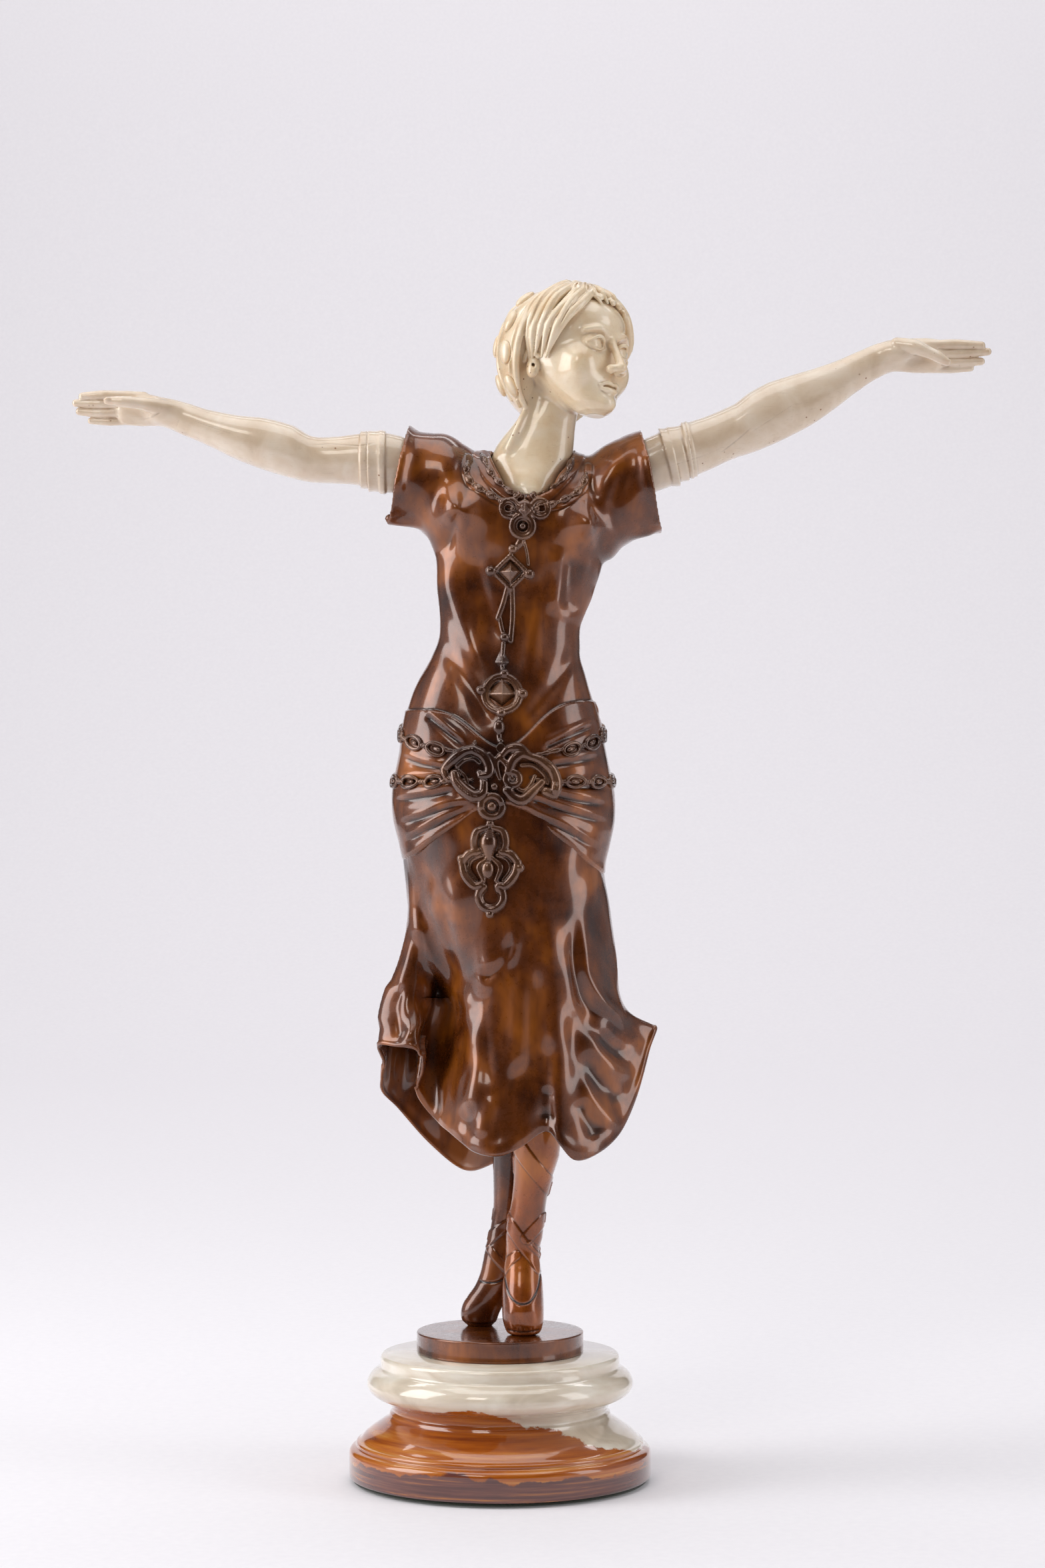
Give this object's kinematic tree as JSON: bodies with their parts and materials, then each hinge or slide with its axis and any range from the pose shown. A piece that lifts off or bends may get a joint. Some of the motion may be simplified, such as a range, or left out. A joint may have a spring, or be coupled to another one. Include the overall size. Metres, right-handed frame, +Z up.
{
  "type": "dancer statuette",
  "caption": "Figurine of a dancer with outstretched arms in a cast bronze dress, with carved cream head and arms, on a turned banded onyx plinth.",
  "frame": {"origin": "centre of the plinth's underside, on the surface that the statuette stands on", "axes": "+Z up the statuette, -Y the way the figure faces, +X towards the figure's left hand"},
  "size_m": [0.3929, 0.1286, 0.5079],
  "materials": {
    "felt": "wool felt",
    "onyx": "polished banded onyx",
    "bronze_patina": "warm red-brown lacquered patina",
    "bronze_legs": "golden-brown lacquered patina",
    "bronze_ornament": "grey-brown patina, rubbed on the high points",
    "ivory": "polished cream ivory substitute",
    "steel": "turned",
    "brass": "turned"
  },
  "bodies": {
    "root": {"felt_pad": "felt", "onyx_plinth": "onyx", "plinth_bolt": "steel", "plinth_washer": "steel", "bronze_plate": "bronze_patina", "toe_studs": "steel", "toe_nuts": "brass", "front_leg": "bronze_legs", "rear_leg": "bronze_legs", "leg_screws": "steel", "skirt": "bronze_patina", "bodice": "bronze_patina", "seam_pins": "bronze_patina", "bust": "ivory", "bust_screw": "steel", "right_arm": "ivory", "left_arm": "ivory", "arm_dowels": "steel", "collar_chain": "bronze_ornament", "brooch": "bronze_ornament", "chest_chain": "bronze_ornament", "girdle_chain": "bronze_ornament", "girdle_buckle": "bronze_ornament", "pendant": "bronze_ornament", "ornament_pins": "steel"}
  },
  "joints": []
}
